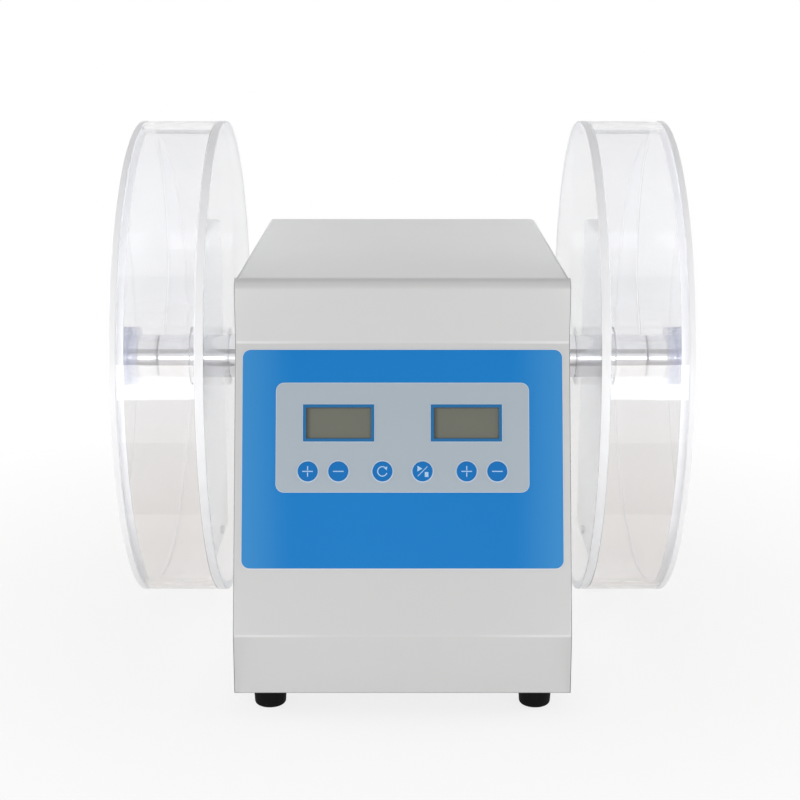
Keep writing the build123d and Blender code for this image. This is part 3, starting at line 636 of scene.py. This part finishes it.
def lay_flat_mark(name, bm, middle, face, body, material):
    """A flat mark, raised by the mark depth and laid on the slope. Its face is how far out it lies."""
    bmesh.ops.remove_doubles(bm, verts=bm.verts[:], dist=1e-6)
    flat = bm.faces[:]
    for part in flat:
        part.normal_update()
        if part.normal.z < 0:
            part.normal_flip()
    grown = bmesh.ops.extrude_face_region(bm, geom=flat)
    raised = [v for v in grown["geom"] if isinstance(v, bmesh.types.BMVert)]
    bmesh.ops.translate(bm, verts=raised, vec=(0, 0, mark_depth))
    bmesh.ops.recalc_face_normals(bm, faces=bm.faces[:])
    bmesh.ops.translate(bm, verts=bm.verts[:], vec=(*middle, face))
    bmesh.ops.transform(bm, matrix=panel_place, verts=bm.verts[:])
    return add_piece(name, new_mesh(name, bm), body, material)


def fine_coat(name, light, dark, gloss=(0.4, 0.5), depth=0.004, cloud=40.0, **sockets):
    return coat(name, light, dark, gloss, grain=1500.0, depth=depth, cloud=cloud, **sockets)


key_blue = fine_coat(
    "key_blue", paint(22, 113, 184), paint(16, 105, 176), (0.3, 0.38), depth=0.006, cloud=30.0,
    Specular_IOR_Level=0.2,
)
white_print = fine_coat("white_print", paint(170, 202, 230), paint(162, 194, 224))
pale_marks = fine_coat("pale_ring_and_line_marks", paint(194, 211, 226), paint(188, 205, 221))
pale_edge = fine_coat("pale_sheet_edge", paint(222, 224, 226), paint(216, 218, 221))

bm = bmesh.new()
flat_frame(bm, width=0.1386, height=0.0598, corner=0.0042, line=0.0003)
lay_flat_mark("plate_line", bm, plate_middle, plate_face, "housing", pale_marks)
bm = bmesh.new()
flat_frame(bm, width=0.1761, height=0.1202, corner=0.0044, line=0.0004)
lay_flat_mark("overlay_line", bm, overlay_middle, overlay_face, "housing", pale_edge)
for side, way in sides.items():
    bm = bmesh.new()
    flat_frame(bm, width=0.0392, height=0.0205, corner=0.0006, line=0.0003)
    middle = (way * display_apart / 2, display_row)
    lay_flat_mark("display_line_" + side, bm, middle, plate_face, "housing", pale_marks)

keys = {
    "count_up": (-0.0520, plus_sign),
    "count_down": (-0.0352, minus_sign),
    "reset": (-0.0110, turn_sign),
    "run_stop": (0.0110, run_sign),
    "speed_up": (0.0352, plus_sign),
    "speed_down": (0.0520, minus_sign),
}
for key, (x, sign) in keys.items():
    dressed("key_cap_" + key, "key_" + key, key_blue)
    bm = bmesh.new()
    # Painted highlight: a pale ring round the key, over the gap round its hole.
    flat_ring(bm, radius=0.0058, width=0.0006, steps=64)
    lay_flat_mark("key_highlight_ring_" + key, bm, (x, key_row), plate_face, "housing", pale_marks)
    bm = bmesh.new()
    sign(bm)
    lay_flat_mark("key_sign_" + key, bm, (x, key_row), key_face, "button_" + key, white_print)


# Drums: turned from clear cast acrylic. The back plate and the round wall are bonded, the collar
# sits on the back plate, and the lid is a plug that fits inside the wall, with a lip over its end.
# The sawn edges of the discs and the end of the wall are sanded.
axis_y = 0.0215
axis_z = 0.1615


def span(node):
    """How far out from the middle a turned node starts and ends, and its bore and radius, to a
    hundredth of a millimetre."""
    points = [v.co for v in nodes[node].data.vertices]
    out = [abs(point.x) for point in points]
    radii = [hypot(point.y - axis_y, point.z - axis_z) for point in points]
    return [round(size, 5) for size in (min(out), max(out), min(radii), max(radii))]


back_x, chamber_x, _, wall_out = span("drum_back_right")
_, lip_x, wall_in, _ = span("drum_rim_right")
_, collar_x, _, collar_out = span("drum_collar_right")
plug_x, lid_x, lid_bore, _ = span("drum_lid_right")
hub_bore = 0.01385
plug_gap = 0.0004
plug_out = wall_in - plug_gap
disc_edge_depth = 0.0012
wall_end_depth = 0.0005


def clear_acrylic(name, rough):
    """Clear plastic that lets the lamps through to what is behind it."""
    material, tree, shader = new_material(name)
    shader.inputs["Base Color"].default_value = (0.966, 0.967, 0.976, 1)
    shader.inputs["IOR"].default_value = 1.49
    shader.inputs["Transmission Weight"].default_value = 0.93
    haze = range_node(tree, noise(tree, 18.0, 5.0), 0.0, 1.0, *rough)
    tree.links.new(haze, shader.inputs["Roughness"])
    clear = tree.nodes.new("ShaderNodeBsdfTransparent")
    clear.inputs["Color"].default_value = (0.95, 0.96, 0.97, 1)
    shown = shader_mix(tree, rays(tree, "Is Shadow Ray"), shader.outputs[0], clear.outputs[0])
    tree.links.new(shown, tree.nodes["Material Output"].inputs["Surface"])
    return material


def disc_edge(face):
    """The sawn outer edge of a disc, with its broken corners."""
    out = hypot(face.center.y - axis_y, face.center.z - axis_z)
    return out > wall_in - disc_edge_depth and abs(face.normal.x) < 0.9


def wall_end(face):
    return abs(face.center.x) > lip_x - wall_end_depth


def tube(start, end, bore, radius):
    """Half the section of a tube round the shaft."""
    return [(start, bore), (end, bore), (end, radius), (start, radius)]


def turned(name, node, outline, body, material, way, edge=0.0004, steps=192):
    """A node turned again in finer steps about the shaft, with its corners broken. The outline is
    a closed list of distance out from the middle and radius."""
    bm = bmesh.new()
    corners = [bm.verts.new((x * way, axis_y, axis_z + radius)) for x, radius in outline]
    bm.faces.new(corners)
    bmesh.ops.bevel(
        bm, geom=bm.verts[:], offset=edge, offset_type="OFFSET", segments=3, profile=0.5,
        affect="VERTICES", material=-1,
    )
    bmesh.ops.delete(bm, geom=bm.faces[:], context="FACES_ONLY")
    bmesh.ops.spin(
        bm, geom=bm.verts[:] + bm.edges[:], cent=(0, axis_y, axis_z), axis=(1, 0, 0), angle=2 * pi,
        steps=steps, use_merge=True,
    )
    bmesh.ops.remove_doubles(bm, verts=bm.verts[:], dist=1e-6)
    bmesh.ops.recalc_face_normals(bm, faces=bm.faces[:])
    mesh = new_mesh(name, bm)
    shade(mesh, 50)
    return add_piece(name, mesh, body, material, [node])


acrylic = clear_acrylic("clear_acrylic", (0.0, 0.02))
worn_acrylic = clear_acrylic("worn_acrylic", (0.02, 0.05))
sanded = coat(
    "sanded_acrylic_edge", (0.965, 0.965, 0.975, 1), (0.945, 0.945, 0.965, 1), (0.29, 0.4), grain=900.0,
    depth=0.01, cloud=30.0, Transmission_Weight=0.17, IOR=1.49,
)
for side, way in sides.items():
    back_plate = turned(
        "drum_back_plate_" + side, "drum_back_" + side, tube(back_x, chamber_x, hub_bore, wall_out),
        "rotor", worn_acrylic, way,
    )
    wall = turned(
        "drum_wall_" + side, "drum_rim_" + side, tube(chamber_x, lip_x, wall_in, wall_out),
        "rotor", acrylic, way,
    )
    turned(
        "drum_collar_ring_" + side, "drum_collar_" + side, tube(chamber_x, collar_x, hub_bore, collar_out),
        "rotor", acrylic, way, steps=96,
    )
    lid = turned(
        "drum_lid_plug_" + side, "drum_lid_" + side,
        [(plug_x, lid_bore), (lid_x, lid_bore), (lid_x, wall_out), (lip_x, wall_out), (lip_x, plug_out),
         (plug_x, plug_out)],
        "lid_" + side, acrylic, way,
    )
    dressed(
        "drum_scoop_arm_" + side, "drum_scoop_" + side, acrylic, edge=0.0004, segments=3,
        angle=50,
    )
    for disc in (back_plate, lid):
        finish_some(disc, sanded, disc_edge)
    finish_some(wall, sanded, wall_end)


# Collar screws: headless steel screws with a black oxide finish, two in each collar, whose points
# grip the hub sleeve. They keep the frame's own shape.
black_oxide = coat(
    "black_oxide", (0.02, 0.02, 0.021, 1), (0.035, 0.035, 0.036, 1), (0.35, 0.5), grain=900.0, depth=0.01,
    Metallic=0.6,
)
finished("collar_screws", black_oxide)


# Hubs and knobs: a polished sleeve carries each drum on the shaft, and a fluted blue knob with a
# polished boss screws on the shaft's stud and presses the lid on.
sleeve_start, sleeve_end, shaft_bore, sleeve_out = span("hub_sleeve_right")
sleeve_nose = 0.009
chrome = coat(
    "polished_metal", (0.8, 0.8, 0.81, 1), (0.72, 0.72, 0.74, 1), (0.05, 0.12), grain=400.0, depth=0.004,
    cloud=20.0, Metallic=1.0,
)
knob_blue = coat(
    "blue_knob_plastic", paint(38, 82, 178), paint(32, 74, 170), (0.18, 0.26), grain=900.0, depth=0.01,
    cloud=30.0,
)
for side, way in sides.items():
    turned(
        "hub_sleeve_tube_" + side, "hub_sleeve_" + side,
        [(sleeve_start, shaft_bore), (sleeve_end, shaft_bore), (sleeve_end, sleeve_nose),
         (plug_x, sleeve_nose), (plug_x, sleeve_out), (sleeve_start, sleeve_out)],
        "rotor", chrome, way, edge=0.0003, steps=96,
    )
    turned(
        "knob_boss_tube_" + side, "knob_boss_" + side, tube(*span("knob_boss_" + side)),
        "knob_" + side, chrome, way, edge=0.0006, steps=96,
    )
    dressed("knob_grip_" + side, "lid_knob_" + side, knob_blue)


# Drive: the steel shaft runs in bronze bushes in two upright brackets. A geared motor on a bracket
# of its own turns it through a steel pinion and a plastic gear, and a collar keeps it in place.
def inside(slot, members, light, dark, gloss, metallic=0.0):
    """One finish for pieces inside the housing, which keep the frame's own shape."""
    finish = coat(
        slot + "_finish", (*light, 1), (*dark, 1), gloss, grain=800.0, depth=0.01, cloud=30.0,
        Metallic=metallic,
    )
    for member in members:
        finished(member, finish)


inside("shaft_steel", ["drive_shaft", "motor_shaft"], (0.6, 0.6, 0.61), (0.5, 0.5, 0.52), (0.16, 0.26), 1.0)
inside("bush_bronze", ["bush_left", "bush_right"], (0.5, 0.3, 0.13), (0.4, 0.24, 0.1), (0.35, 0.5), 1.0)
brackets = ["motor_bracket", "upright_left", "upright_right"]
inside("bracket_steel", brackets, (0.58, 0.59, 0.6), (0.46, 0.47, 0.5), (0.3, 0.5), 1.0)
inside("collar_steel", ["set_collar"], (0.08, 0.08, 0.085), (0.12, 0.12, 0.125), (0.35, 0.5), 1.0)
inside("gear_plastic", ["drive_gear"], (0.78, 0.77, 0.72), (0.72, 0.71, 0.66), (0.4, 0.5))
inside("gear_steel", ["pinion"], (0.42, 0.42, 0.43), (0.33, 0.33, 0.34), (0.3, 0.45), 1.0)
inside("gearbox_metal", ["gearbox"], (0.5, 0.5, 0.52), (0.4, 0.4, 0.42), (0.3, 0.45), 1.0)
inside("motor_can", ["motor"], (0.03, 0.03, 0.033), (0.05, 0.05, 0.052), (0.35, 0.5))


# Electronics: the green control board stands on brass posts behind the panel, with its push
# switches. A fork sensor counts the turns of a slotted disc, and the supply has a metal case.
inside("board_green", ["control_board"], (0.02, 0.16, 0.07), (0.03, 0.2, 0.09), (0.29, 0.4))
inside("brass_posts", ["board_standoffs"], (0.72, 0.5, 0.22), (0.62, 0.42, 0.18), (0.29, 0.4), 1.0)
black_parts = ["key_switches", "counter_sensor"]
inside("switch_plastic", black_parts, (0.02, 0.02, 0.022), (0.03, 0.03, 0.033), (0.4, 0.55))
inside("disc_black", ["counter_disc"], (0.02, 0.02, 0.022), (0.035, 0.035, 0.037), (0.4, 0.55))
inside("supply_case", ["power_supply"], (0.7, 0.71, 0.72), (0.6, 0.61, 0.63), (0.35, 0.5), 1.0)


# Mains entry: one black moulding, pushed up to its flange into an opening of the rear panel. It
# holds the socket with its brass pins, the fuse drawer and the rocker switch.
inside("pin_brass", ["inlet_pins"], (0.7, 0.62, 0.42), (0.6, 0.52, 0.34), (0.18, 0.26), 1.0)
entry_black = coat(
    "entry_moulding", (0.018, 0.018, 0.02, 1), (0.028, 0.028, 0.03, 1), (0.4, 0.55), grain=1100.0,
)
rocker_black = coat(
    "rocker_moulding", (0.014, 0.014, 0.016, 1), (0.02, 0.02, 0.022, 1), (0.15, 0.25), grain=900.0,
    depth=0.005,
)
dressed("mains_entry_moulding", "mains_entry", entry_black, edge=0.0003)
dressed("fuse_drawer_moulding", "fuse_drawer", entry_black, edge=0.0003)
dressed("rocker_moulding", "power_rocker", rocker_black, edge=0.0003)
